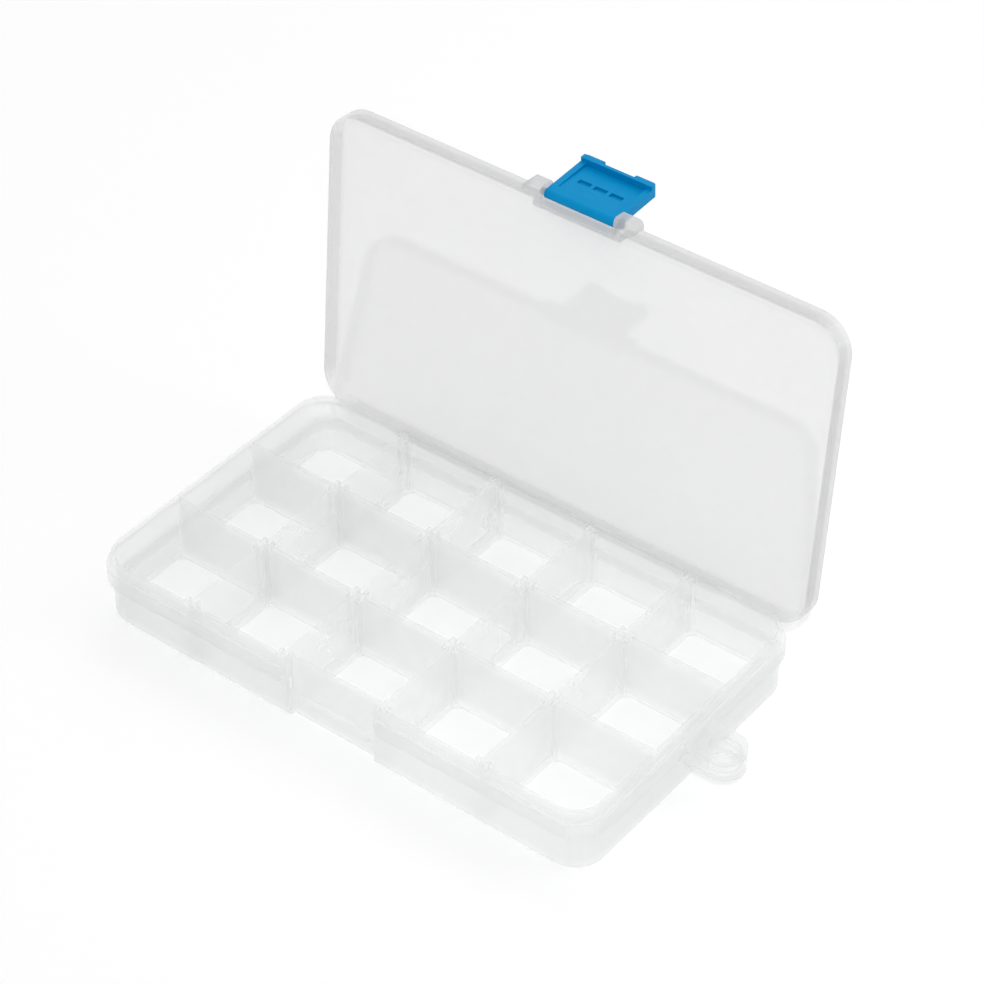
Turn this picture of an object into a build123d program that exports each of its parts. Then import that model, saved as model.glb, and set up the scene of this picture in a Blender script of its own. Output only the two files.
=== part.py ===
from build123d import *
import os

# Compartment storage box: a tray with two fixed long walls and slotted dividers, a lid on a
# living hinge, and a latch. Millimetres. The origin is the centre of the underside, X runs
# along the compartment rows, +Y points to the hinge and +Z up. Lid and latch are modelled
# closed, then turned to where they rest in the open box.

# How near an edge lies to a height to count as lying on it, and how far a cut runs past
# the face that it opens.
level_margin = 0.001
cut_margin = 1.0

# Rim: the band round the tray's wall whose top face meets the lid's edge.
rim_length = 175.0
rim_width = 100.5
rim_radius = 11.0
rim_height = 5.0
rim_edge_round = 0.5
seam_height = 18.2

# Tray shell
tray_wall = 1.2
floor_thickness = 1.4
wall_rise = 3.4
wall_top_round = 0.4
underside_round = 2.0
floor_round = 1.0

# Compartments
column_count = 5
row_count = 3
long_wall = 1.3
divider_thickness = 1.6
divider_corner_cut = 1.3
divider_edge_round = 0.3
divider_foot_gap = 0.2
slot_side_gap = 0.2
slot_end_gap = 0.25
rib_width = 1.2
rib_depth = 1.9

# Lid
lid_panel = 1.2
lid_skirt = 1.1
lid_side_gap = 0.4
lid_edge_gap = 0.3
lid_head_gap = 1.0
lid_top_round = 0.8
lid_rest_angle = 95.0

# Hinge: the lid turns about a line just inside the back of the rim. The web bridges from a
# thin flange of the rim to the lid's back face.
hinge_inset = 0.55
hinge_drop = 1.9
back_flange = 1.2
web_thickness = 0.45
web_length = 116.0
web_lid_seat = 2.9
swing_gap = 4.5

# Latch. Its pivot lies a little in front of the rim.
latch_width = 24.2
latch_length = 18.0
latch_skin = 1.5
latch_side_rib = 1.9
latch_root = 2.6
latch_lip = 2.5
latch_lip_lead = 0.8
latch_edge_round = 0.4
barrel_radius = 1.5
pivot_lead = 0.35
pin_radius = 1.0
pin_length = 1.5
pin_gap = 0.06
pin_end_gap = 0.3
grip_notch_width = 10.9
grip_notch_depth = 0.9
pan_recess_width = 4.2
pan_recess_length = 1.9
pan_recess_depth = 0.4
pan_recess_count = 3
pan_recess_pitch = 5.4
pan_recess_place = 8.2
latch_rest_angle = 172.0

# Ears, notch and catch, which fit round the latch
ear_width = 6.4
ear_reach = 3.4
ear_corner_round = 2.8
ear_nose_round = 1.4
ear_root = 2.45
latch_ear_gap = 0.2
latch_back_gap = 1.15
recess_wall = 0.95
band_step = 2.0
catch_height = 2.5
catch_slope = 1.0
catch_length = 25.0
catch_gap = 0.3
catch_face_gap = 1.2
lip_tip_gap = 0.3

# Hanging tabs on the right end
tab_count = 2
tab_thickness = 1.8
tab_pitch = 5.4
tab_hole_radius = 4.35
tab_ring = 1.95
tab_reach = 9.0

# Tray sizes that follow. The rim stands out as far as the lid's skirt and its gap need, so
# that the closed lid is flush with it.
rim_overhang = lid_skirt + lid_side_gap
rim_half_x = rim_length / 2
rim_half_y = rim_width / 2
wall_half_x = rim_half_x - rim_overhang
wall_half_y = rim_half_y - rim_overhang
wall_radius = rim_radius - rim_overhang
inner_half_x = wall_half_x - tray_wall
inner_half_y = wall_half_y - tray_wall
inner_radius = wall_radius - tray_wall
wall_top = seam_height + wall_rise
rim_bottom = seam_height - rim_height
flange_bottom = seam_height - back_flange

# Compartment sizes that follow
row_clear = (2 * inner_half_y - (row_count - 1) * long_wall) / row_count
row_pitch = row_clear + long_wall
column_clear = (2 * inner_half_x - (column_count - 1) * divider_thickness) / column_count
column_pitch = column_clear + divider_thickness
divider_height = wall_top - floor_thickness
divider_top = floor_thickness + divider_foot_gap + divider_height

# Lid sizes that follow
lid_edge_z = seam_height + lid_edge_gap
lid_inner_z = divider_top + lid_head_gap
lid_top_z = lid_inner_z + lid_panel
hinge_y = rim_half_y - hinge_inset
hinge_z = seam_height - hinge_drop

# Latch, notch and catch sizes that follow, for the closed box. The front is at -Y.
pivot_y = -rim_half_y - pivot_lead
pivot_z = (lid_edge_z + lid_top_z) / 2
ear_front = -rim_half_y - ear_reach
latch_inner_y = pivot_y + barrel_radius
notch_y = latch_inner_y + latch_back_gap
notch_half = latch_width / 2 + latch_ear_gap
block_y = notch_y + lid_skirt
block_half = notch_half + ear_root
recess_y = block_y + lid_side_gap
recess_half = block_half + lid_side_gap
bulge_y = recess_y + recess_wall
bulge_half = recess_half + recess_wall
band_half = recess_half + band_step
lip_tip_y = recess_y - lip_tip_gap
lip_top_z = pivot_z - latch_length + latch_lip
catch_bottom = lip_top_z + catch_gap
catch_y = latch_inner_y + catch_face_gap


def box_between(x0, x1, y0, y1, z0, z1):
    """A box from its low corner to its high corner."""
    size = Box(x1 - x0, y1 - y0, z1 - z0)
    return Pos((x0 + x1) / 2, (y0 + y1) / 2, (z0 + z1) / 2) * size


def rounded_block(half_x, half_y, radius, z0, z1):
    """A block with rounded upright corners, centred on the Z axis."""
    outline = RectangleRounded(2 * half_x, 2 * half_y, radius)
    return Pos(0, 0, z0) * extrude(outline, z1 - z0)


def edges_at(solid, z):
    """The edges that lie level at one height."""
    return solid.edges().filter_by_position(Axis.Z, z - level_margin, z + level_margin)


def turned(solid, y, z, angle):
    """The solid turned about a line along X through y, z."""
    return Pos(0, y, z) * Rot(X=angle) * Pos(0, -y, -z) * solid


def rest_point(y, z):
    """Where a point of the closed lid's profile lies with the lid at rest."""
    arm = Rot(X=-lid_rest_angle) * Pos(0, y - hinge_y, z - hinge_z)
    return (hinge_y + arm.position.Y, hinge_z + arm.position.Z)


def divider_x(column):
    """Where a divider stands along its row, counted from one at the left."""
    return (column - column_count / 2) * column_pitch


def row_back(row):
    """The back face of a row's space, counted from one at the front."""
    return -inner_half_y + row * row_pitch - long_wall


def row_front(row, x):
    """The front face of a row's space. The bulge stands into the first row."""
    reach = abs(x) - divider_thickness / 2 - slot_side_gap
    if row == 1 and reach < bulge_half:
        return max(bulge_y, -inner_half_y)
    return -inner_half_y + (row - 1) * row_pitch


def make_row_space(row):
    """The hollow of one row, with a rounded floor edge."""
    top = wall_top + cut_margin
    space = rounded_block(inner_half_x, inner_half_y, inner_radius, floor_thickness, top)
    front = -inner_half_y + (row - 1) * row_pitch
    space &= box_between(-rim_half_x, rim_half_x, front, row_back(row), 0, top)
    space = fillet(edges_at(space, floor_thickness), floor_round)
    if row == 1:
        space -= box_between(-bulge_half, bulge_half, -rim_half_y, bulge_y, 0, top)
    return space


def make_slot_ribs(row, column):
    """The rib pairs that hold one divider at its front and back ends."""
    x = divider_x(column)
    near = divider_thickness / 2 + slot_side_gap
    wall_front = -inner_half_y + (row - 1) * row_pitch
    wall_back = row_back(row)
    spans = [
        (wall_front - tray_wall / 2, row_front(row, x) + rib_depth),
        (wall_back - rib_depth, wall_back + tray_wall / 2),
    ]
    ribs = []
    for y0, y1 in spans:
        for side in (-1, 1):
            x0, x1 = sorted((x + side * near, x + side * (near + rib_width)))
            ribs.append(box_between(x0, x1, y0, y1, floor_thickness / 2, wall_top))
    return ribs


def make_rim():
    """The band round the wall, open over the latch and thinned over the hinge."""
    rim = rounded_block(rim_half_x, rim_half_y, rim_radius, rim_bottom, seam_height)
    rim = fillet(edges_at(rim, rim_bottom) + edges_at(rim, seam_height), rim_edge_round)
    front = -rim_half_y - cut_margin
    rim -= box_between(-band_half, band_half, front, -wall_half_y, 0, wall_top)
    swing_half = rim_half_x - rim_radius + swing_gap
    back = rim_half_y + cut_margin
    rim -= box_between(-swing_half, swing_half, wall_half_y, back, 0, flange_bottom)
    return rim


def make_tabs():
    """Two stacked tabs with one hanging hole through both."""
    centre = rim_half_x + tab_reach
    outer = tab_hole_radius + tab_ring
    root = wall_half_x - tray_wall / 2
    tabs = []
    for number in range(tab_count):
        z0 = seam_height - tab_thickness - number * tab_pitch
        arm = box_between(root, centre, -outer, outer, z0, z0 + tab_thickness)
        ring = Pos(centre, 0, z0) * extrude(Circle(outer), tab_thickness)
        hole = Pos(centre, 0, z0) * extrude(Circle(tab_hole_radius), tab_thickness)
        tabs.append(arm + ring - hole)
    return tabs


def make_catch():
    """The rib that the latch's lip hooks under, sloped on top."""
    top = catch_bottom + catch_height
    catch = box_between(-catch_length / 2, catch_length / 2, catch_y, recess_y + recess_wall / 2,
                        catch_bottom, top)
    return chamfer(edges_at(catch, top).filter_by(Axis.X).sort_by(Axis.Y)[0], catch_slope)


def make_base_tray():
    """Tray: floor, walls, rim, slot ribs, catch and hanging tabs in one moulding."""
    tray = rounded_block(wall_half_x, wall_half_y, wall_radius, 0, wall_top)
    tray = fillet(edges_at(tray, 0), underside_round)
    tray = fillet(edges_at(tray, wall_top), wall_top_round)
    tray += make_rim()
    for row in range(1, row_count + 1):
        tray -= make_row_space(row)
    for row in range(1, row_count + 1):
        for column in range(1, column_count):
            tray += make_slot_ribs(row, column)
    tray -= box_between(-recess_half, recess_half, -rim_half_y - cut_margin, recess_y,
                        -cut_margin, wall_top + cut_margin)
    tray += make_catch()
    tray += make_tabs()
    return tray


def make_divider(row, column):
    """A loose plate between two slots, with its lower corners cut off."""
    x = divider_x(column)
    y0 = row_front(row, x) + slot_end_gap
    y1 = row_back(row) - slot_end_gap
    z0 = floor_thickness + divider_foot_gap
    plate = box_between(x - divider_thickness / 2, x + divider_thickness / 2, y0, y1,
                        z0, z0 + divider_height)
    plate = chamfer(edges_at(plate, z0).filter_by(Axis.X), divider_corner_cut)
    return fillet(edges_at(plate, z0 + divider_height), divider_edge_round)


def make_ear(side):
    """An ear of the lid beside the latch, rounded over its nose and at its outer corner."""
    x0, x1 = sorted((side * notch_half, side * (notch_half + ear_width)))
    block = box_between(x0, x1, ear_front, lid_skirt - rim_half_y, lid_edge_z, lid_top_z)
    nose = fillet(block.edges().filter_by(Axis.X).group_by(Axis.Y)[0], ear_nose_round)
    front = block.edges().filter_by(Axis.Z).group_by(Axis.Y)[0]
    outer = front.sort_by(Axis.X)[-1 if side > 0 else 0]
    return nose & fillet(outer, ear_corner_round)


def make_closed_lid():
    """Lid: panel, skirt, the set-back front between the ears, and the ears."""
    lid = rounded_block(rim_half_x, rim_half_y, rim_radius, lid_edge_z, lid_top_z)
    lid = fillet(edges_at(lid, lid_top_z), lid_top_round)
    hollow = rounded_block(rim_half_x - lid_skirt, rim_half_y - lid_skirt,
                           rim_radius - lid_skirt, lid_edge_z, lid_inner_z)
    hollow -= box_between(-block_half, block_half, -rim_half_y, block_y, 0, lid_top_z)
    lid -= hollow
    for side in (-1, 1):
        lid += make_ear(side)
    lid -= box_between(-notch_half, notch_half, -rim_width, notch_y, lid_edge_z, lid_top_z)
    for side in (-1, 1):
        depth = notch_half + pin_length - latch_ear_gap + pin_end_gap
        x0 = min(0, side * depth)
        bore = extrude(Circle(pin_radius + pin_gap), depth)
        lid -= Pos(x0, pivot_y, pivot_z) * Rot(Y=90) * bore
    return lid


def make_closed_latch():
    """Latch: barrel with stub pins, a hollowed plate with side ribs, and the hook lip."""
    half = latch_width / 2
    end_z = pivot_z - latch_length
    outer_y = pivot_y - barrel_radius
    plate = box_between(-half, half, outer_y, latch_inner_y, end_z, pivot_z)
    lip = box_between(-half, half, outer_y, lip_tip_y, end_z, end_z + latch_lip)
    latch = plate + lip
    toe = edges_at(latch, end_z).filter_by(Axis.X).sort_by(Axis.Y)[-1]
    latch = chamfer(toe, latch_lip_lead)
    latch = fillet(edges_at(latch, end_z).filter_by(Axis.Y), latch_edge_round)
    latch += Pos(-half, pivot_y, pivot_z) * Rot(Y=90) * extrude(Circle(barrel_radius), latch_width)
    pan_half = half - latch_side_rib
    pan_top = pivot_z - latch_root
    pan_floor = outer_y + latch_skin
    pan = box_between(-pan_half, pan_half, pan_floor, lip_tip_y, end_z + latch_lip, pan_top)
    latch -= pan
    for number in range(pan_recess_count):
        x = (number - (pan_recess_count - 1) / 2) * pan_recess_pitch
        z = pivot_z - pan_recess_place
        latch -= box_between(x - pan_recess_width / 2, x + pan_recess_width / 2,
                             pan_floor - pan_recess_depth, pan_floor,
                             z - pan_recess_length / 2, z + pan_recess_length / 2)
    latch -= box_between(-grip_notch_width / 2, grip_notch_width / 2, outer_y, lip_tip_y,
                         end_z, end_z + grip_notch_depth)
    reach = half + pin_length
    latch += Pos(-reach, pivot_y, pivot_z) * Rot(Y=90) * extrude(Circle(pin_radius), 2 * reach)
    return latch


def make_hinge_strap():
    """The living hinge's web, bent as it lies with the lid at rest."""
    half = web_length / 2
    seat = box_between(-half, half, rim_half_y, rim_half_y + web_thickness,
                       flange_bottom, seam_height - rim_edge_round)
    leaf = box_between(-half, half, rim_half_y, rim_half_y + web_thickness,
                       lid_edge_z, lid_edge_z + web_lid_seat)
    leaf = turned(leaf, hinge_y, hinge_z, -lid_rest_angle)
    bend = Polygon(
        (rim_half_y, flange_bottom),
        (rim_half_y + web_thickness, flange_bottom),
        rest_point(rim_half_y, lid_edge_z),
        rest_point(rim_half_y + web_thickness, lid_edge_z),
        align=None,
    )
    bend = extrude(Plane.YZ * bend, half, both=True)
    return seat + bend + leaf


def save(solid, name):
    """Write one piece under its node's name."""
    export_step(solid, os.path.join("parts", name + ".step"))


os.makedirs("parts", exist_ok=True)
save(make_base_tray(), "base_tray")
for row in range(1, row_count + 1):
    for column in range(1, column_count):
        save(make_divider(row, column), f"divider_row{row}_col{column}")
save(turned(make_closed_lid(), hinge_y, hinge_z, -lid_rest_angle), "lid")
save(make_hinge_strap(), "hinge_strap")
latch = turned(make_closed_latch(), pivot_y, pivot_z, -latch_rest_angle)
save(turned(latch, hinge_y, hinge_z, -lid_rest_angle), "latch")
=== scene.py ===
import math

import bmesh
import bpy
from mathutils import Matrix, Vector


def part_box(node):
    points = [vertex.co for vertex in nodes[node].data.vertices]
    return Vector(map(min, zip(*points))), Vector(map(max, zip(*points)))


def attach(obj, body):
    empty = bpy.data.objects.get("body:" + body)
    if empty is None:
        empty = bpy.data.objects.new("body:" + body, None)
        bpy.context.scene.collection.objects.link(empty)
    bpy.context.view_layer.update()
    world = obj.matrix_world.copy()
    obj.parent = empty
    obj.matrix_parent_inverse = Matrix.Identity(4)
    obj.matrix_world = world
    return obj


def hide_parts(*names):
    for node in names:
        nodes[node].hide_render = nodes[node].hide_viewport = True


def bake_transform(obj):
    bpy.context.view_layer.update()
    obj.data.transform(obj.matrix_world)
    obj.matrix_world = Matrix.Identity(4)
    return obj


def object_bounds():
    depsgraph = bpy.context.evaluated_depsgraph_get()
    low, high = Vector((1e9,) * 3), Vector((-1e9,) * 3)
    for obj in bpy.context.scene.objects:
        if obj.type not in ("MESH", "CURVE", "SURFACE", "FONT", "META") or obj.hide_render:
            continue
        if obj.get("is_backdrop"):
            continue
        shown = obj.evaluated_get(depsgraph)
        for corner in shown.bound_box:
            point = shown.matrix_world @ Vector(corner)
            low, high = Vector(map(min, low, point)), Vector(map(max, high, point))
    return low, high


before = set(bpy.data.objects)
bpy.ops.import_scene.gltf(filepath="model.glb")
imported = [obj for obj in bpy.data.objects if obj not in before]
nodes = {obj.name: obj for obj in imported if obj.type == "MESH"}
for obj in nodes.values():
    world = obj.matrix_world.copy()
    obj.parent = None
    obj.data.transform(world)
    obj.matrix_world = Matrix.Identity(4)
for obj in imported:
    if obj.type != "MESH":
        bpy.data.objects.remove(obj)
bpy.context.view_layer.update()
scene = bpy.context.scene
MM = 0.001

# ---------------------------------------------------------------------------------------------
# Tray. One moulding of milky polypropylene with a satin skin: floor, outer wall, rim band, two
# long walls, slot ribs, catch rib and hanging tabs. Light passes through it, and every wall
# that lies behind another makes it a little greyer.
# ---------------------------------------------------------------------------------------------


def new_material(name):
    material = bpy.data.materials.new(name)
    material.use_nodes = True
    material.node_tree.nodes.clear()
    return material, material.node_tree


def add(tree, kind, at=(0, 0), **settings):
    node = tree.nodes.new(kind)
    node.location = at
    for key, value in settings.items():
        setattr(node, key, value)
    return node


def put(node, **values):
    for key, value in values.items():
        node.inputs[key.replace("_", " ")].default_value = value
    return node


def calculate(tree, operation, first, second=0.0, third=None, at=(0, 0)):
    node = add(tree, "ShaderNodeMath", at, operation=operation)
    for socket, value in zip(node.inputs, (first, second, third)):
        if isinstance(value, bpy.types.NodeSocket):
            tree.links.new(value, socket)
        elif value is not None:
            socket.default_value = value
    return node.outputs[0]


def moulded_skin_group():
    """What moulding leaves in the surface: slow flow marks in the melt, and a fine satin grain."""
    group = bpy.data.node_groups.new("moulded_skin", "ShaderNodeTree")
    face = group.interface
    face.new_socket("Place", in_out="INPUT", socket_type="NodeSocketVector")
    for name, value in (("Flow Scale", 45.0), ("Grain Scale", 1400.0), ("Roughness", 0.4),
                        ("Roughness Spread", 0.1)):
        face.new_socket(name, in_out="INPUT", socket_type="NodeSocketFloat").default_value = value
    for name in ("Pale", "Deep"):
        face.new_socket(name, in_out="INPUT", socket_type="NodeSocketColor")
    face.new_socket("Color", in_out="OUTPUT", socket_type="NodeSocketColor")
    for name in ("Haze", "Roughness", "Grain"):
        face.new_socket(name, in_out="OUTPUT", socket_type="NodeSocketFloat")
    inside = add(group, "NodeGroupInput", (-900, 0))
    outside = add(group, "NodeGroupOutput", (500, 0))
    flow = put(add(group, "ShaderNodeTexNoise", (-600, 200)), Detail=3.0, Roughness=0.55,
               Distortion=0.6)
    grain = put(add(group, "ShaderNodeTexNoise", (-600, -150)), Detail=2.0, Roughness=0.6)
    for texture, scale in ((flow, "Flow Scale"), (grain, "Grain Scale")):
        group.links.new(inside.outputs["Place"], texture.inputs["Vector"])
        group.links.new(inside.outputs[scale], texture.inputs["Scale"])
    blend = add(group, "ShaderNodeMix", (0, 250), data_type="RGBA")
    group.links.new(flow.outputs["Fac"], blend.inputs["Factor"])
    group.links.new(inside.outputs["Pale"], blend.inputs["A"])
    group.links.new(inside.outputs["Deep"], blend.inputs["B"])
    centred = calculate(group, "SUBTRACT", grain.outputs["Fac"], 0.5, at=(-300, -50))
    rough = calculate(group, "MULTIPLY_ADD", centred, inside.outputs["Roughness Spread"],
                      inside.outputs["Roughness"], at=(0, -50))
    group.links.new(blend.outputs["Result"], outside.inputs["Color"])
    group.links.new(flow.outputs["Fac"], outside.inputs["Haze"])
    group.links.new(rough, outside.inputs["Roughness"])
    group.links.new(grain.outputs["Fac"], outside.inputs["Grain"])
    return group


moulded_skin = moulded_skin_group()


# In the middle of each compartment the floor is a clearer window with round corners, and round
# it the floor is hazy. The rim band stands off the wall, and its double plastic hides more; its
# colour is darkened a little as painted shade. Under it the wall's inside has a band of painted
# shade, which also hides more. The rim's top is thinner, and its colour is darkened a little as
# painted shade. The tabs are a shade deeper, and towards the end away from them the colour is
# darkened as painted shade.
FLOOR_HIDES = 0.42
FLOOR_ROUND_HIDES = 1.35
CELL_PITCH = (34.24 * MM, 32.133 * MM)
CELL_WINDOW = (14.7 * MM, 14.1 * MM)
WINDOW_ROUND = 2.5 * MM
WINDOW_BLUR = 0.25 * MM
INNER_SKIN = 0.7 * MM
FLOOR_TOP = (1.45 * MM, 1.8 * MM)
RIM_EDGE = (86.4 * MM, 49.1 * MM)
RIM_HIDES = 1.25
# Painted shade: how much the rim's colour is darkened.
RIM_SHADE_TONE = 0.96
INNER_WALL = (84.8 * MM, 47.55 * MM)
INNER_ROUND = 8.3 * MM
# The band of painted shade on the wall's inside under the rim, fainter on the front and right
# walls.
SHADE_BAND_HEIGHTS = (12.2 * MM, 10.0 * MM)
SHADE_BAND_HALF_WIDTH = 1.9 * MM
SHADE_BAND_HIDES = 1.8
SHADE_BAND_TONE = 0.92
SHADE_BAND_BLUR = (0.2 * MM, 0.3 * MM)
SHADE_BAND_DEPTH = 0.4 * MM
SHADE_BAND_IN_FRONT = 0.35
FRONT_SIDE = -39.0 * MM
RIGHT_SIDE = 80.0 * MM
TOP_START = 21.15 * MM
TOP_HIDES = 0.75
# Painted shade on the tops of the walls.
TOP_SHADE_TONE = 0.97
TABS_START = 87.6 * MM
TABS_TONE = 0.95
# Painted shade: the colour darkens towards the end away from the tabs.
FAR_END_SHADE_TONE = 0.955
FAR_END_SHADE_STOPS = 20.0 * MM


def zones_group(name):
    """A group that will tell how much each place of a moulding hides and blocks, and its tone,
    which carries painted shade.
    """
    group = bpy.data.node_groups.new(name, "ShaderNodeTree")
    face = group.interface
    face.new_socket("Place", in_out="INPUT", socket_type="NodeSocketVector")
    for output in ("Hiding", "Blocking"):
        face.new_socket(output, in_out="OUTPUT", socket_type="NodeSocketFloat")
    face.new_socket("Tone", in_out="OUTPUT", socket_type="NodeSocketColor")
    return group, add(group, "NodeGroupInput", (-1400, 0)), add(group, "NodeGroupOutput", (1100, 0))


def finish_zones(group, outside, hiding, blocking, tone):
    colour = add(group, "ShaderNodeCombineColor", (900, -200))
    for channel in ("Red", "Green", "Blue"):
        group.links.new(tone, colour.inputs[channel])
    group.links.new(hiding, outside.inputs["Hiding"])
    group.links.new(blocking, outside.inputs["Blocking"])
    group.links.new(colour.outputs["Color"], outside.inputs["Tone"])


def ramp(tree, value, start, end, low, high, at):
    node = put(add(tree, "ShaderNodeMapRange", at), From_Min=start, From_Max=end, To_Min=low,
               To_Max=high)
    tree.links.new(value, node.inputs["Value"])
    return node.outputs["Result"]


def length(tree, pair, at):
    squares = [calculate(tree, "MULTIPLY", v, v, at=(at[0] - 400, at[1])) for v in pair]
    total = calculate(tree, "ADD", *squares, at=(at[0] - 200, at[1]))
    return calculate(tree, "SQRT", total, at=at)


def between(tree, share, plain, special, at):
    """The plain value where share is 0 and the special one where it is 1."""
    return calculate(tree, "MULTIPLY_ADD", share, special - plain, plain, at=at)


group, inside, outside = zones_group("tray_zones")
axes = add(group, "ShaderNodeSeparateXYZ", (-1200, 0))
group.links.new(inside.outputs["Place"], axes.inputs[0])
past, beyond, corner = [], [], []
for i, axis in enumerate("XY"):
    high = 200 - 400 * i
    cell = calculate(group, "PINGPONG", axes.outputs[axis], CELL_PITCH[i] / 2, at=(-1000, high))
    over = calculate(group, "SUBTRACT", cell, CELL_WINDOW[i] - WINDOW_ROUND, at=(-800, high))
    past.append(calculate(group, "MAXIMUM", over, 0.0, at=(-600, high)))
    reach = calculate(group, "ABSOLUTE", axes.outputs[axis], at=(-1000, high - 200))
    beyond.append(calculate(group, "SUBTRACT", reach, RIM_EDGE[i], at=(-800, high - 200)))
    bend = calculate(group, "SUBTRACT", reach, INNER_WALL[i] - INNER_ROUND, at=(-800, high - 300))
    corner.append(calculate(group, "MAXIMUM", bend, 0.0, at=(-600, high - 300)))

window = ramp(group, length(group, past, (0, 200)), WINDOW_ROUND, WINDOW_ROUND + WINDOW_BLUR, 0.0,
              1.0, at=(200, 300))
inner_skin = calculate(group, "GREATER_THAN", axes.outputs["Z"], INNER_SKIN, at=(200, 150))
round_window = calculate(group, "MULTIPLY", window, inner_skin, at=(400, 300))
raised = ramp(group, axes.outputs["Z"], *FLOOR_TOP, 0.0, 1.0, at=(200, 50))
flat = calculate(group, "SUBTRACT", 1.0, raised, at=(400, 50))
hazy = calculate(group, "MULTIPLY", round_window, flat, at=(500, 150))
flat_haze = calculate(group, "MULTIPLY", hazy, FLOOR_ROUND_HIDES - 1.0, at=(600, 150))
solid = calculate(group, "MAXIMUM", round_window, raised, at=(500, 250))
hides = between(group, solid, FLOOR_HIDES, 1.0, at=(650, 250))
hides = calculate(group, "ADD", hides, flat_haze, at=(750, 200))
rim = calculate(group, "GREATER_THAN", calculate(group, "MAXIMUM", *beyond, at=(-400, -300)), 0.0,
                at=(-200, -300))
before_tabs = calculate(group, "LESS_THAN", axes.outputs["X"], TABS_START, at=(-200, -450))
rim = calculate(group, "MULTIPLY", rim, before_tabs, at=(0, -300))
on_tabs = calculate(group, "SUBTRACT", 1.0, before_tabs, at=(0, -600))
# The band of painted shade on the wall's inside under the rim, fainter on the front and right
# walls.
off_wall = calculate(group, "SUBTRACT", length(group, corner, (-200, -800)), INNER_ROUND,
                     at=(0, -800))
off_wall = calculate(group, "ABSOLUTE", off_wall, at=(100, -800))
on_wall = calculate(group, "LESS_THAN", off_wall, SHADE_BAND_DEPTH, at=(200, -800))
turned = calculate(group, "SUBTRACT", *corner, at=(-200, -1000))
middle = ramp(group, turned, -INNER_ROUND, INNER_ROUND, *SHADE_BAND_HEIGHTS, at=(0, -1000))
off_middle = calculate(group, "SUBTRACT", axes.outputs["Z"], middle, at=(200, -1000))
off_middle = calculate(group, "ABSOLUTE", off_middle, at=(300, -1000))
shade_band = ramp(group, off_middle, SHADE_BAND_HALF_WIDTH - SHADE_BAND_BLUR[0], SHADE_BAND_HALF_WIDTH + SHADE_BAND_BLUR[1],
            1.0, 0.0, at=(400, -1000))
shade_band = calculate(group, "MULTIPLY", shade_band, on_wall, at=(600, -900))
in_front = calculate(group, "LESS_THAN", axes.outputs["Y"], FRONT_SIDE, at=(200, -1200))
on_right = calculate(group, "GREATER_THAN", axes.outputs["X"], RIGHT_SIDE, at=(200, -1350))
nearer = calculate(group, "MAXIMUM", in_front, on_right, at=(400, -1350))
fainter = between(group, nearer, 1.0, SHADE_BAND_IN_FRONT, at=(550, -1350))
shade_band = calculate(group, "MULTIPLY", shade_band, fainter, at=(700, -1200))
top = calculate(group, "GREATER_THAN", axes.outputs["Z"], TOP_START, at=(400, -1200))
denser = between(group, rim, 1.0, RIM_HIDES, at=(400, -300))
denser = calculate(group, "MULTIPLY_ADD", shade_band, SHADE_BAND_HIDES - 1.0, denser, at=(750, -300))
thinner = between(group, top, 1.0, TOP_HIDES, at=(750, -100))
hides = calculate(group, "MULTIPLY", hides, thinner, at=(800, 100))
# The tone: painted shade on the rim, the band and the tops, and the tabs' deeper tone.
tone = between(group, rim, 1.0, RIM_SHADE_TONE, at=(500, -500))
for part, shade in ((on_tabs, TABS_TONE), (shade_band, SHADE_BAND_TONE), (top, TOP_SHADE_TONE)):
    tone = calculate(group, "MULTIPLY_ADD", part, shade - 1.0, tone, at=(700, -500))
# Painted shade: the colour darkens towards the end away from the tabs.
far_end_shade = ramp(group, axes.outputs["X"], -RIM_EDGE[0], FAR_END_SHADE_STOPS, FAR_END_SHADE_TONE, 1.0,
               at=(700, -700))
finish_zones(group, outside, calculate(group, "MULTIPLY", hides, denser, at=(850, 0)), denser,
             calculate(group, "MULTIPLY", tone, far_end_shade, at=(850, -500)))
tray_zones = group


HAZE_SPREAD = 0.08
GLOW = 0.5
SLANT_POWER = 2.4
GRAIN_DEPTH = 0.004 * MM
MOST_HIDDEN = 0.95


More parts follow.
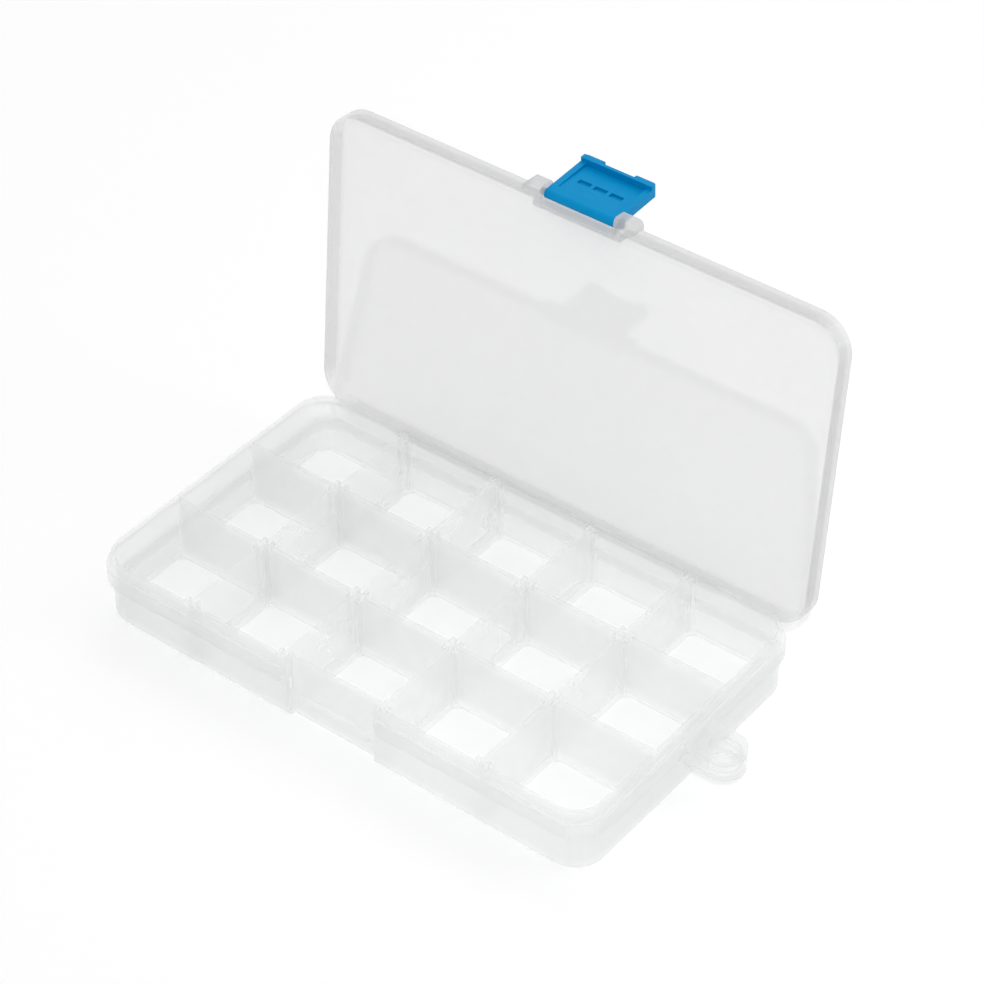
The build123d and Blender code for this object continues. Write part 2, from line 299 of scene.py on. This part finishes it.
def milky_plastic(name, pale, deep, head_on, edge_on, shade, flow_scale=45.0, zones=None):
    """Frosted sheet. head_on and edge_on are how much one face hides, looked at square and flat,
    and shade is how much denser than that it is for light."""
    material, tree = new_material(name)
    place = add(tree, "ShaderNodeTexCoord", (-1300, 0))
    skin = add(tree, "ShaderNodeGroup", (-1050, 0), node_tree=moulded_skin)
    put(skin, Flow_Scale=flow_scale, Pale=pale, Deep=deep, Roughness=0.42, Roughness_Spread=0.18)
    tree.links.new(place.outputs["Object"], skin.inputs["Place"])
    bump = put(add(tree, "ShaderNodeBump", (-750, -350)), Strength=0.25, Distance=GRAIN_DEPTH)
    tree.links.new(skin.outputs["Grain"], bump.inputs["Height"])
    plastic = put(add(tree, "ShaderNodeBsdfPrincipled", (-450, 200)), IOR=1.49,
                  Specular_IOR_Level=0.4)
    tree.links.new(skin.outputs["Color"], plastic.inputs["Base Color"])
    tree.links.new(skin.outputs["Roughness"], plastic.inputs["Roughness"])
    tree.links.new(bump.outputs["Normal"], plastic.inputs["Normal"])
    through = add(tree, "ShaderNodeBsdfTranslucent", (-450, -200))
    tree.links.new(skin.outputs["Color"], through.inputs["Color"])
    body = put(add(tree, "ShaderNodeMixShader", (-150, 100)), Fac=GLOW)
    tree.links.new(plastic.outputs[0], body.inputs[1])
    tree.links.new(through.outputs[0], body.inputs[2])
    slant = put(add(tree, "ShaderNodeLayerWeight", (-1050, 500)), Blend=0.5)
    steep = calculate(tree, "POWER", slant.outputs["Facing"], SLANT_POWER, at=(-850, 500))
    hiding = calculate(tree, "MULTIPLY_ADD", steep, edge_on - head_on, head_on, at=(-650, 500))
    centred = calculate(tree, "SUBTRACT", skin.outputs["Haze"], 0.5, at=(-850, 350))
    hazed = calculate(tree, "MULTIPLY_ADD", centred, HAZE_SPREAD, hiding, at=(-450, 450))
    ray = add(tree, "ShaderNodeLightPath", (-650, 800))
    blocking, share = shade, hazed
    if zones:
        thick = add(tree, "ShaderNodeGroup", (-900, 950), node_tree=zones)
        tree.links.new(place.outputs["Object"], thick.inputs["Place"])
        blocking = calculate(tree, "MULTIPLY", thick.outputs["Blocking"], shade, at=(-650, 650))
        share = calculate(tree, "MULTIPLY", hazed, thick.outputs["Hiding"], at=(-200, 600))
        # The zones' tone darkens the colour; most of it is painted shade.
        deeper = add(tree, "ShaderNodeMix", (-700, 250), data_type="RGBA", blend_type="MULTIPLY")
        deeper.inputs["Factor"].default_value = 1.0
        tree.links.new(skin.outputs["Color"], deeper.inputs["A"])
        tree.links.new(thick.outputs["Tone"], deeper.inputs["B"])
        tree.links.new(deeper.outputs["Result"], plastic.inputs["Base Color"])
        tree.links.new(deeper.outputs["Result"], through.inputs["Color"])
    # Light finds the sheet denser than the eye does.
    unseen = calculate(tree, "SUBTRACT", 1.0, ray.outputs["Is Camera Ray"], at=(-450, 800))
    extra = calculate(tree, "SUBTRACT", blocking, 1.0, at=(-450, 650))
    times = calculate(tree, "MULTIPLY_ADD", unseen, extra, 1.0, at=(-250, 750))
    share = calculate(tree, "MULTIPLY", share, times, at=(0, 500))
    share = calculate(tree, "MINIMUM", share, MOST_HIDDEN, at=(150, 500))
    clear = add(tree, "ShaderNodeBsdfTransparent", (-150, -100))
    sheet = add(tree, "ShaderNodeMixShader", (100, 100))
    tree.links.new(share, sheet.inputs["Fac"])
    tree.links.new(clear.outputs[0], sheet.inputs[1])
    tree.links.new(body.outputs[0], sheet.inputs[2])
    out = add(tree, "ShaderNodeOutputMaterial", (350, 100))
    tree.links.new(sheet.outputs[0], out.inputs["Surface"])
    return material


tray_plastic = milky_plastic("milky_tray_plastic", (0.966, 0.971, 0.971, 1),
                             (0.95, 0.955, 0.955, 1), head_on=0.30, edge_on=0.42,
                             shade=2.0, zones=tray_zones)
nodes["base_tray"].material_slots[0].material = tray_plastic

# ---------------------------------------------------------------------------------------------
# Hinge web. The thin strip of the same plastic along the back edge that joins tray and lid. It
# is moulded with both and bends each time the lid is turned, so it has a soft curve.
# ---------------------------------------------------------------------------------------------
web_half_length = 58.0 * MM
web_thickness = 0.45 * MM
rim_back = 50.25 * MM
hinge_line = Vector((0.0, 49.7 * MM, 16.3 * MM))
lid_open = math.radians(95.0)


def opened(y, z):
    """A point of the shut lid's section, turned with the lid to where it stands open."""
    turned = Matrix.Rotation(-lid_open, 3, "X") @ (Vector((0.0, y, z)) - hinge_line)
    return turned + hinge_line


web_outer = rim_back + web_thickness
tray_end = Vector((0, web_outer, 17.7 * MM))
tray_leaves = Vector((0, web_outer, 17.15 * MM))
lid_meets = opened(web_outer, 18.6 * MM)
lid_end = opened(web_outer, 21.4 * MM)
web_steps, web_cuts, web_handle = 18, 24, 0.9 * MM
handle_a = tray_leaves + Vector((0, 0, -web_handle))
handle_b = lid_meets + (lid_meets - lid_end).normalized() * web_handle
route = [tray_end]
for i in range(web_steps + 1):
    t = i / web_steps
    route.append((1 - t) ** 3 * tray_leaves + 3 * t * (1 - t) ** 2 * handle_a
                 + 3 * t * t * (1 - t) * handle_b + t ** 3 * lid_meets)
route.append(lid_end)


def strip_mesh(name, line, thickness, half_length, cuts):
    """A strip of even thickness along X whose section follows the line, on its inner side."""
    mesh = bmesh.new()
    columns = [half_length * (2 * k / cuts - 1) for k in range(cuts + 1)]
    inner = []
    for i, point in enumerate(line):
        before, after = line[max(i - 1, 0)], line[min(i + 1, len(line) - 1)]
        along = (after - before).normalized()
        inner.append(point + Vector((0, along.z, -along.y)) * thickness)
    loops = line + inner[::-1]
    grid = [[mesh.verts.new((x, p.y, p.z)) for p in loops] for x in columns]
    count = len(loops)
    for a, b in zip(grid, grid[1:]):
        for i in range(count):
            j = (i + 1) % count
            mesh.faces.new((a[i], b[i], b[j], a[j]))
    for grid_end in (grid[0], grid[-1]):
        for i in range(len(line) - 1):
            mesh.faces.new((grid_end[i], grid_end[i + 1], grid_end[count - 2 - i],
                            grid_end[count - 1 - i]))
    bmesh.ops.recalc_face_normals(mesh, faces=mesh.faces)
    data = bpy.data.meshes.new(name)
    mesh.to_mesh(data)
    mesh.free()
    return data


web = bpy.data.objects.new("hinge_web", strip_mesh("hinge_web", route, web_thickness,
                                                   web_half_length, web_cuts))
scene.collection.objects.link(web)
web.data.materials.append(tray_plastic)
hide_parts("hinge_strap")
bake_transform(web)

# ---------------------------------------------------------------------------------------------
# Lid. A flat panel of the same plastic with a shallow skirt and two ears at its front edge,
# a little thinner than the tray, so that what stands behind it shows as a soft shade.
# ---------------------------------------------------------------------------------------------
LID_EDGE = (86.3 * MM, 49.05 * MM)
LID_BLOCK = (15.0 * MM, 46.7 * MM)
SKIRT_HIDES = 1.25
SKIRT_BLOCKS = 4.6
# Painted shade: how much the skirt's colour is darkened.
SKIRT_SHADE_TONE = 0.93
EARS_FRONT = 50.35 * MM
EARS_HIDE = 1.7
group, inside, outside = zones_group("lid_zones")
shut = add(group, "ShaderNodeMapping", (-1200, 0), vector_type="POINT")
shut.inputs["Rotation"].default_value = (lid_open, 0, 0)
shut.inputs["Location"].default_value = hinge_line - Matrix.Rotation(lid_open, 3, "X") @ hinge_line
group.links.new(inside.outputs["Place"], shut.inputs["Vector"])
axes = add(group, "ShaderNodeSeparateXYZ", (-1000, 0))
group.links.new(shut.outputs[0], axes.inputs[0])
sideways = calculate(group, "ABSOLUTE", axes.outputs["X"], at=(-800, 200))
lengthways = calculate(group, "ABSOLUTE", axes.outputs["Y"], at=(-800, 0))
past_side = calculate(group, "SUBTRACT", sideways, LID_EDGE[0], at=(-600, 200))
past_front = calculate(group, "SUBTRACT", lengthways, LID_EDGE[1], at=(-600, 0))
edges = calculate(group, "MAXIMUM", past_side, past_front, at=(-400, 100))
block_side = calculate(group, "SUBTRACT", LID_BLOCK[0], sideways, at=(-600, -200))
block_front = calculate(group, "SUBTRACT", -LID_BLOCK[1], axes.outputs["Y"], at=(-600, -400))
block = calculate(group, "MINIMUM", block_side, block_front, at=(-400, -300))
skirt = calculate(group, "MAXIMUM", edges, block, at=(-200, 0))
skirt = calculate(group, "GREATER_THAN", skirt, 0.0, at=(0, 0))
ears = calculate(group, "GREATER_THAN", lengthways, EARS_FRONT, at=(0, 200))
hides = between(group, skirt, 1.0, SKIRT_HIDES, at=(300, 0))
# The skirt's tone is painted shade.
finish_zones(group, outside,
             calculate(group, "MULTIPLY_ADD", ears, EARS_HIDE - SKIRT_HIDES, hides, at=(500, 0)),
             between(group, skirt, 1.0, SKIRT_BLOCKS, at=(300, -150)),
             between(group, skirt, 1.0, SKIRT_SHADE_TONE, at=(300, -300)))
# The lid's colour is set darker than the tray's: painted shade, as the lid gets less of the light
# that scatters inside the tray.
shaded_lid_plastic = milky_plastic("milky_lid_plastic_painted_shade", (0.838, 0.842, 0.838, 1), (0.828, 0.832, 0.828, 1),
                            head_on=0.33, edge_on=0.48, flow_scale=28.0, shade=1.0, zones=group)
nodes["lid"].material_slots[0].material = shaded_lid_plastic

# ---------------------------------------------------------------------------------------------
# Latch. A flap of opaque blue plastic that turns on two stub pins in the lid's ears and hooks
# under the tray's catch rib, moulded in one with its side ribs and hook lip.
# ---------------------------------------------------------------------------------------------
latch_plastic, tree = new_material("blue_latch_plastic")
place = add(tree, "ShaderNodeTexCoord", (-900, 0))
skin = add(tree, "ShaderNodeGroup", (-650, 0), node_tree=moulded_skin)
put(skin, Flow_Scale=120.0, Grain_Scale=2200.0, Roughness=0.45, Roughness_Spread=0.15,
    Pale=(0.0, 0.30, 0.63, 1), Deep=(0.0, 0.262, 0.575, 1))
tree.links.new(place.outputs["Object"], skin.inputs["Place"])
bump = put(add(tree, "ShaderNodeBump", (-350, -300)), Strength=0.3, Distance=0.006 * MM)
tree.links.new(skin.outputs["Grain"], bump.inputs["Height"])
plastic = put(add(tree, "ShaderNodeBsdfPrincipled", (-100, 100)), IOR=1.49,
              Specular_IOR_Level=0.08)
tree.links.new(skin.outputs["Color"], plastic.inputs["Base Color"])
tree.links.new(skin.outputs["Roughness"], plastic.inputs["Roughness"])
tree.links.new(bump.outputs["Normal"], plastic.inputs["Normal"])
out = add(tree, "ShaderNodeOutputMaterial", (250, 100))
tree.links.new(plastic.outputs[0], out.inputs["Surface"])
nodes["latch"].material_slots[0].material = latch_plastic

# The flap is the CAD solid with a lower lip, a pan that runs out shallow towards the pins, a
# wider grip step in its edge, larger corners and softened edges. The values are for the shut box.
latch_pins = Vector((0.0, -50.6 * MM, 21.25 * MM))
latch_folded = math.radians(172.0)
flap_half, flap_end, flap_face = 12.1 * MM, 3.25 * MM, -49.1 * MM
pan_floor, pan_start = -50.6 * MM, 18.65 * MM
lip_reach, lip_shown = 2.35 * MM, 1.3 * MM
pan_deep, pan_shallow, mark_depth = 1.0 * MM, 0.3 * MM, 0.75 * MM
grip_half, grip_depth, grip_shown = 5.45 * MM, 0.9 * MM, 1.5 * MM
corner_size, corner_growth = 0.41 * MM, 3.0
flap_edge, sharp_angle = 0.22 * MM, math.radians(40)


def about(point, angle):
    """A turn round a line along X through the point."""
    return Matrix.Translation(point) @ Matrix.Rotation(angle, 4, "X") @ Matrix.Translation(-point)


to_rest = about(hinge_line, -lid_open) @ about(latch_pins, -latch_folded)
flap = bmesh.new()
flap.from_mesh(nodes["latch"].data)
bmesh.ops.remove_doubles(flap, verts=flap.verts, dist=0.002 * MM)
flap.transform(to_rest.inverted())
close = 0.03 * MM
for vert in flap.verts:
    x, y, z = vert.co
    if abs(x) < flap_half + close and z < pan_start + close and y > flap_face + close:
        vert.co.y = flap_face + (y - flap_face) * lip_shown / lip_reach
    elif (abs(x) < flap_half - close and z > flap_end + close
          and pan_floor - mark_depth < y < pan_floor + close):
        share = (pan_start - z) / (pan_start - flap_end)
        depth = pan_shallow + (pan_deep - pan_shallow) * share
        vert.co.y = flap_face - depth - (mark_depth if y < pan_floor - close else 0.0)
    if abs(x) < grip_half + close and abs(z - flap_end - grip_depth) < close:
        vert.co.z = flap_end + grip_shown
    if abs(x) > flap_half - corner_size and z < flap_end + corner_size:
        vert.co.z = flap_end + (z - flap_end) * corner_growth
        vert.co.x = math.copysign(flap_half - (flap_half - abs(x)) * corner_growth, x)
bmesh.ops.dissolve_limit(flap, angle_limit=math.radians(1.0), verts=flap.verts, edges=flap.edges)
flap.transform(to_rest)
flap_mesh = bpy.data.meshes.new("latch_flap")
flap.to_mesh(flap_mesh)
flap.free()
flap_mesh.materials.append(latch_plastic)
flap = bpy.data.objects.new("latch_flap", flap_mesh)
scene.collection.objects.link(flap)
soft = flap.modifiers.new("soft_edges", "BEVEL")
soft.width, soft.segments = flap_edge, 3
soft.limit_method, soft.angle_limit = "ANGLE", sharp_angle
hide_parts("latch")
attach(flap, "latch")

# ---------------------------------------------------------------------------------------------
# Dividers. Twelve loose plates of the same milky plastic, which drop into the slots of each
# row. Each has softened edges, and its two lower corners are cut so that it finds its slot.
# ---------------------------------------------------------------------------------------------
# The plates' colour is set a little paler than the tray's: painted light, for the light carried
# inside the sheets.
lit_divider_plastic = milky_plastic("milky_divider_plastic_painted_light", (0.985, 0.99, 0.99, 1),
                                (0.972, 0.977, 0.977, 1), head_on=0.23, edge_on=0.34, shade=0.7)
DIVIDER_SIZES = {"Length": 30.333 * MM, "Height": 20.2 * MM, "Thickness": 1.6 * MM,
                 "Corner Cut": 1.3 * MM}
divider_edge = 0.3 * MM


def divider_tree():
    """A plate that stands across its row: an outline with its lower corners cut, drawn out."""
    tree = bpy.data.node_groups.new("divider_plate", "GeometryNodeTree")
    face = tree.interface
    for name in DIVIDER_SIZES:
        face.new_socket(name, in_out="INPUT", socket_type="NodeSocketFloat")
    face.new_socket("Place", in_out="INPUT", socket_type="NodeSocketVector")
    face.new_socket("Plate", in_out="OUTPUT", socket_type="NodeSocketGeometry")
    sizes = add(tree, "NodeGroupInput", (-900, 0))
    outline = add(tree, "GeometryNodeCurvePrimitiveQuadrilateral", (-650, 200), mode="RECTANGLE")
    tree.links.new(sizes.outputs["Length"], outline.inputs["Width"])
    tree.links.new(sizes.outputs["Height"], outline.inputs["Height"])
    where = add(tree, "GeometryNodeInputPosition", (-900, -300))
    axes = add(tree, "ShaderNodeSeparateXYZ", (-700, -300))
    tree.links.new(where.outputs[0], axes.inputs[0])
    low = calculate(tree, "LESS_THAN", axes.outputs["Y"], 0.0, at=(-500, -300))
    cut = calculate(tree, "MULTIPLY", low, sizes.outputs["Corner Cut"], at=(-350, -300))
    corners = add(tree, "GeometryNodeFilletCurve", (-400, 200), mode="POLY")
    corners.inputs["Count"].default_value = 1
    tree.links.new(outline.outputs["Curve"], corners.inputs["Curve"])
    tree.links.new(cut, corners.inputs["Radius"])
    half = calculate(tree, "MULTIPLY", sizes.outputs["Thickness"], 0.5, at=(-650, -50))
    back_of = calculate(tree, "MULTIPLY", half, -1.0, at=(-500, -50))
    ends = []
    for i, value in enumerate((back_of, half)):
        end = add(tree, "ShaderNodeCombineXYZ", (-350, -50 - 120 * i))
        tree.links.new(value, end.inputs["Z"])
        ends.append(end)
    path = add(tree, "GeometryNodeCurvePrimitiveLine", (-150, -50))
    tree.links.new(ends[0].outputs[0], path.inputs["Start"])
    tree.links.new(ends[1].outputs[0], path.inputs["End"])
    plate = add(tree, "GeometryNodeCurveToMesh", (50, 100))
    plate.inputs["Fill Caps"].default_value = True
    tree.links.new(path.outputs["Curve"], plate.inputs["Curve"])
    tree.links.new(corners.outputs["Curve"], plate.inputs["Profile Curve"])
    stand = add(tree, "GeometryNodeTransform", (250, 100))
    stand.inputs["Rotation"].default_value = (math.pi / 2, 0, math.pi / 2)
    tree.links.new(plate.outputs["Mesh"], stand.inputs["Geometry"])
    tree.links.new(sizes.outputs["Place"], stand.inputs["Translation"])
    real = add(tree, "GeometryNodeRealizeInstances", (450, 100))
    tree.links.new(stand.outputs["Geometry"], real.inputs["Geometry"])
    skin = add(tree, "GeometryNodeSetMaterial", (650, 100))
    skin.inputs["Material"].default_value = lit_divider_plastic
    tree.links.new(real.outputs["Geometry"], skin.inputs["Geometry"])
    out = add(tree, "NodeGroupOutput", (850, 100))
    tree.links.new(skin.outputs["Geometry"], out.inputs["Plate"])
    return tree


def grown(tree, name, values):
    """The tree's result as a plain mesh, with the named inputs set by their identifiers."""
    seed = bpy.data.objects.new(name + "_seed", bpy.data.meshes.new(name + "_seed"))
    scene.collection.objects.link(seed)
    modifier = seed.modifiers.new("grow", "NODES")
    modifier.node_group = tree
    for item in tree.interface.items_tree:
        if item.in_out == "INPUT" and item.name in values:
            modifier[item.identifier] = values[item.name]
    depsgraph = bpy.context.evaluated_depsgraph_get()
    mesh = bpy.data.meshes.new_from_object(seed.evaluated_get(depsgraph))
    bpy.data.objects.remove(seed)
    mesh.name = name
    return mesh


plate_tree = divider_tree()
for name in [n for n in nodes if n.startswith("divider_")]:
    low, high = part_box(name)
    middle = [(a + b) / 2 for a, b in zip(low, high)]
    mesh = grown(plate_tree, name + "_plate", dict(DIVIDER_SIZES, Place=middle))
    plate = bpy.data.objects.new(name + "_plate", mesh)
    scene.collection.objects.link(plate)
    soft = plate.modifiers.new("soft_edges", "BEVEL")
    soft.width, soft.segments, soft.limit_method = divider_edge, 2, "ANGLE"
    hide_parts(name)
    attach(plate, name)

# ---------------------------------------------------------------------------------------------
# Table, light and camera. A white table under a pale studio sky, with a lamp from the front
# right, high up, which throws the lid's shade on the table behind it, and two soft ones.
# ---------------------------------------------------------------------------------------------
table = bpy.data.meshes.new("table")
reach, table_drop = 3.0, -0.05 * MM
table.from_pydata([(-reach, -reach, 0), (reach, -reach, 0), (reach, reach, 0),
                   (-reach, reach, 0)], [], [(0, 1, 2, 3)])
table = bpy.data.objects.new("table", table)
table.location.z = table_drop
scene.collection.objects.link(table)
table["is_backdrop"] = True


def seen_share(tree, at):
    """1 for the camera's rays and for mirrored and straight-through ones, 0 for all others."""
    ray = add(tree, "ShaderNodeLightPath", at)
    seen = calculate(tree, "MAXIMUM", ray.outputs["Is Camera Ray"], ray.outputs["Is Glossy Ray"],
                     at=(at[0] + 200, at[1]))
    return calculate(tree, "MAXIMUM", seen, ray.outputs["Is Transmission Ray"],
                     at=(at[0] + 400, at[1]))


# What the camera sees of the table is a little brighter than what it gives off, as in a studio.
TABLE_LIFT = 0.126
table_white, tree = new_material("white_table")
matt = put(add(tree, "ShaderNodeBsdfDiffuse", (-200, 100)), Color=(0.93, 0.93, 0.93, 1))
bright = put(add(tree, "ShaderNodeEmission", (-200, -100)), Color=(1, 1, 1, 1))
lift = calculate(tree, "MULTIPLY", seen_share(tree, (-600, 300)), TABLE_LIFT, at=(-50, 300))
tree.links.new(lift, bright.inputs["Strength"])
both = add(tree, "ShaderNodeAddShader", (100, 100))
tree.links.new(matt.outputs[0], both.inputs[0])
tree.links.new(bright.outputs[0], both.inputs[1])
out = add(tree, "ShaderNodeOutputMaterial", (350, 100))
tree.links.new(both.outputs[0], out.inputs["Surface"])
table.data.materials.append(table_white)

# The sky's strength at the horizon, and how much more it is overhead. It is seen as plain white.
SKY_LOW, SKY_RISE = 0.30, 0.56
world = bpy.data.worlds.new("studio")
world.use_nodes = True
scene.world = world
tree = world.node_tree
tree.nodes.clear()
where = add(tree, "ShaderNodeTexCoord", (-900, 0))
parts = add(tree, "ShaderNodeSeparateXYZ", (-700, 0))
tree.links.new(where.outputs["Generated"], parts.inputs[0])
height = calculate(tree, "MULTIPLY_ADD", parts.outputs["Z"], SKY_RISE, SKY_LOW, at=(-500, 0))
sky = add(tree, "ShaderNodeBackground", (-250, 0))
tree.links.new(height, sky.inputs["Strength"])
white = put(add(tree, "ShaderNodeBackground", (-250, -200)), Strength=1.0)
sky.inputs["Color"].default_value = white.inputs["Color"].default_value = (1, 1, 1, 1)
mixed = add(tree, "ShaderNodeMixShader", (0, 0))
tree.links.new(seen_share(tree, (-600, 400)), mixed.inputs["Fac"])
tree.links.new(sky.outputs[0], mixed.inputs[1])
tree.links.new(white.outputs[0], mixed.inputs[2])
out = add(tree, "ShaderNodeOutputWorld", (250, 0))
tree.links.new(mixed.outputs[0], out.inputs["Surface"])


def add_lamp(name, kind, stands, strength):
    """A lamp at that place, turned towards the box."""
    lamp = bpy.data.lights.new(name, kind)
    lamp.energy = strength
    holder = bpy.data.objects.new(name, lamp)
    holder.location = stands
    holder.rotation_mode = "QUATERNION"
    holder.rotation_quaternion = stands.to_track_quat("Z", "Y")
    scene.collection.objects.link(holder)
    return lamp


front_lamp = add_lamp("front_lamp", "SUN", Vector((0.588, -0.84, 1.18)), 0.65)
front_lamp.angle = math.radians(0.9)
overhead_softbox = add_lamp("overhead_softbox", "SUN", Vector((-0.4, 0.9, 0.8)), 0.30)
overhead_softbox.angle = math.radians(50.0)
side_softbox = add_lamp("side_softbox", "AREA", Vector((0.45, 0.35, 0.45)), 0.5)
side_softbox.size = 0.4

photo_azimuth, photo_elevation, photo_roll = (math.radians(a) for a in (38.11, 39.87, -0.17))
photo_distance, aim_right, aim_up = 914.4 * MM, 14.08 * MM, 43.51 * MM
focal_pixels, frame_pixels = 3222.24, 984.0
back = Vector((math.sin(photo_azimuth) * math.cos(photo_elevation),
               -math.cos(photo_azimuth) * math.cos(photo_elevation), math.sin(photo_elevation)))
level = Vector((0, 0, 1)).cross(back).normalized()
upward = back.cross(level)
right = level * math.cos(photo_roll) + upward * math.sin(photo_roll)
up = upward * math.cos(photo_roll) - level * math.sin(photo_roll)
camera = bpy.data.objects.new("camera", bpy.data.cameras.new("camera"))
camera.data.sensor_width = 36.0
camera.data.lens = camera.data.sensor_width * focal_pixels / frame_pixels
camera.data.clip_start, camera.data.clip_end = 0.01, 20.0
turn = Matrix((right, up, back)).transposed().to_4x4()
camera.matrix_world = Matrix.Translation(
    right * aim_right + up * aim_up + back * photo_distance) @ turn
scene.collection.objects.link(camera)
scene.camera = camera

scene.view_settings.view_transform = "Standard"
# The sheets lie many deep behind each other, and the light between them is what makes them white.
scene.cycles.transparent_max_bounces = 64
scene.cycles.max_bounces = 24
scene.cycles.diffuse_bounces = 16
scene.cycles.transmission_bounces = 16

low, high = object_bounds()
